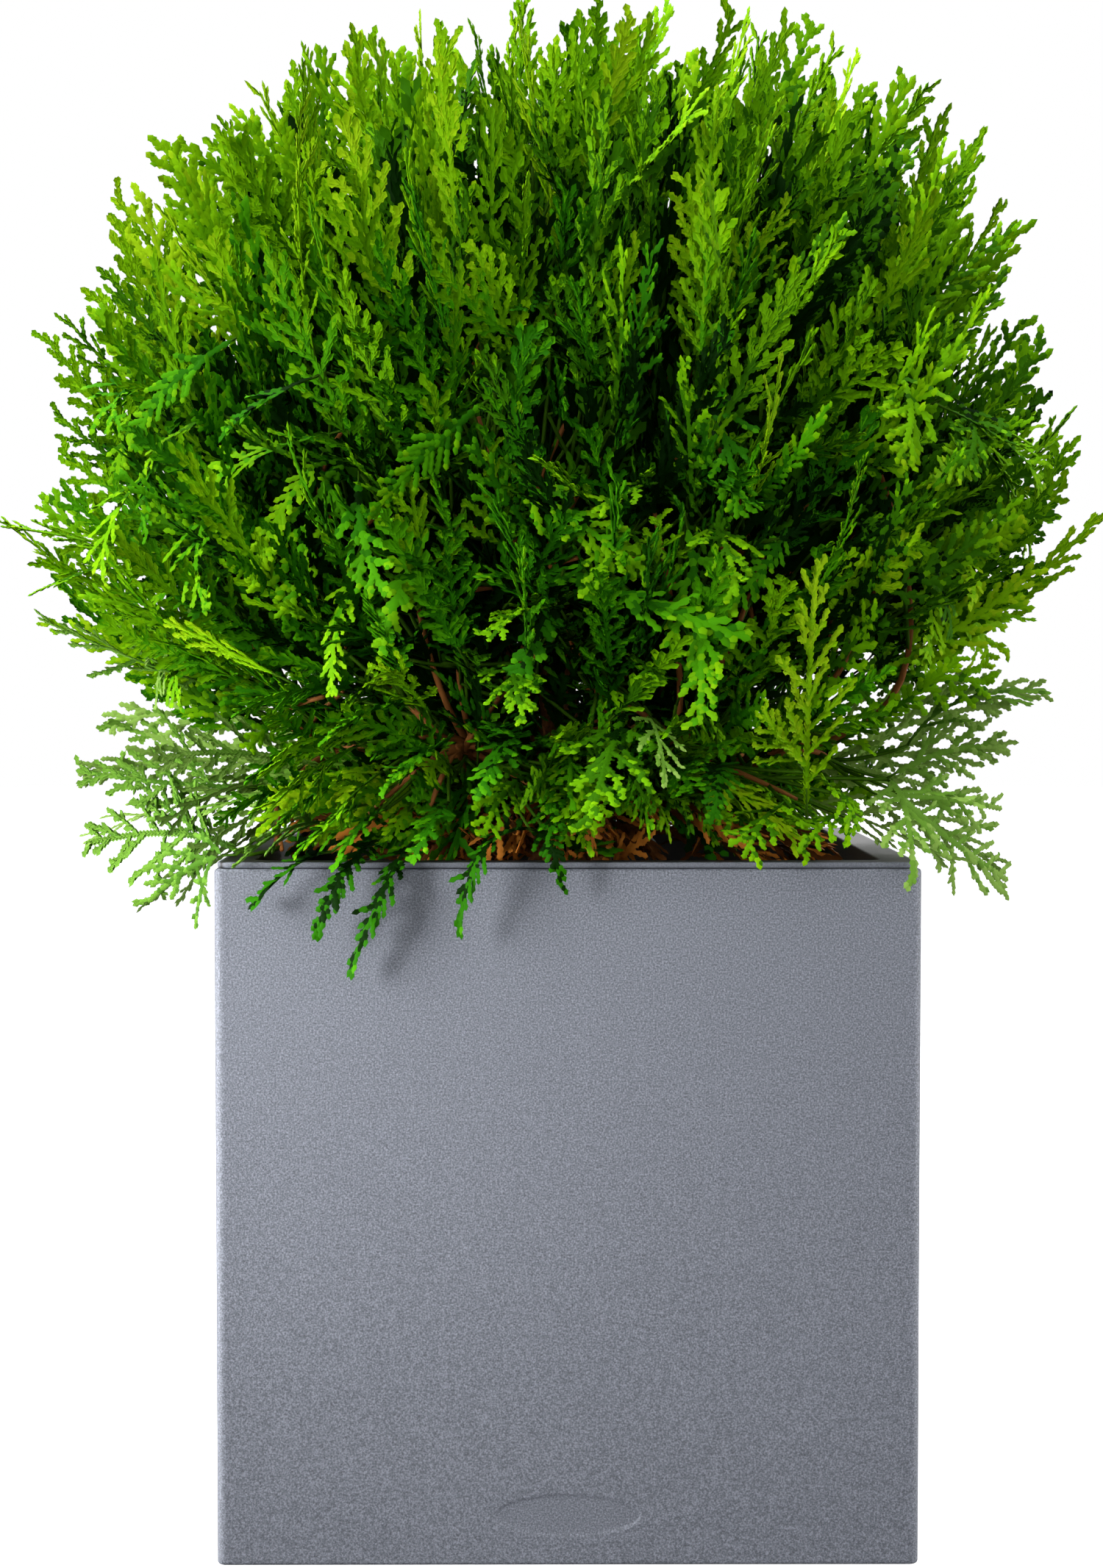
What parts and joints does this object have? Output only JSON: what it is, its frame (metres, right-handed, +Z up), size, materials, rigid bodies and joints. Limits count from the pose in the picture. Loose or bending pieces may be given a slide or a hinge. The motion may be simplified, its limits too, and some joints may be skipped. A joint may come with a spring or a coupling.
{
  "type": "globe arborvitae in a cube planter",
  "caption": "Dense globe of flat evergreen sprays on a short trunk with spreading boughs, standing in a plain grey cube planter with a hanging liner and potting mix.",
  "frame": {"origin": "centre of the planter's flat underside", "axes": "+Z up, -Y towards the front face with the oval plaque, +X to the right as seen from the front"},
  "size_m": [0.5136, 0.471, 0.691],
  "materials": {
    "planter": "slate grey with a fine granular, stone-like texture",
    "liner": "darker grey, finely textured",
    "substrate": "moist dark potting mix with bark and dry needle scraps",
    "bark": "red-brown bark in thin shreds",
    "foliage": "satin scale leaves, bright yellow-green at the tips, deep green inside",
    "foliage_low": "satin scale leaves, cooler and duller green"
  },
  "bodies": {
    "root": {"planter_shell": "planter", "planter_liner": "liner", "substrate": "substrate", "trunk": "bark", "bough_top": "bark", "bough_upper_1": "bark", "bough_upper_2": "bark", "bough_upper_3": "bark", "bough_upper_4": "bark", "bough_upper_5": "bark", "bough_middle_1": "bark", "bough_middle_2": "bark", "bough_middle_3": "bark", "bough_middle_4": "bark", "bough_middle_5": "bark", "bough_middle_6": "bark", "bough_middle_7": "bark", "bough_lower_1": "bark", "bough_lower_2": "bark", "bough_lower_3": "bark", "bough_lower_4": "bark", "bough_lower_5": "bark", "bough_lower_6": "bark", "bough_lower_7": "bark", "bough_lower_8": "bark", "foliage_top": "foliage", "foliage_upper_1": "foliage", "foliage_upper_2": "foliage", "foliage_upper_3": "foliage", "foliage_upper_4": "foliage", "foliage_upper_5": "foliage", "foliage_middle_1": "foliage", "foliage_middle_2": "foliage", "foliage_middle_3": "foliage", "foliage_middle_4": "foliage", "foliage_middle_5": "foliage", "foliage_middle_6": "foliage", "foliage_middle_7": "foliage", "foliage_lower_1": "foliage_low", "foliage_lower_2": "foliage_low", "foliage_lower_3": "foliage_low", "foliage_lower_4": "foliage_low", "foliage_lower_5": "foliage_low", "foliage_lower_6": "foliage_low", "foliage_lower_7": "foliage_low", "foliage_lower_8": "foliage_low"}
  },
  "joints": []
}
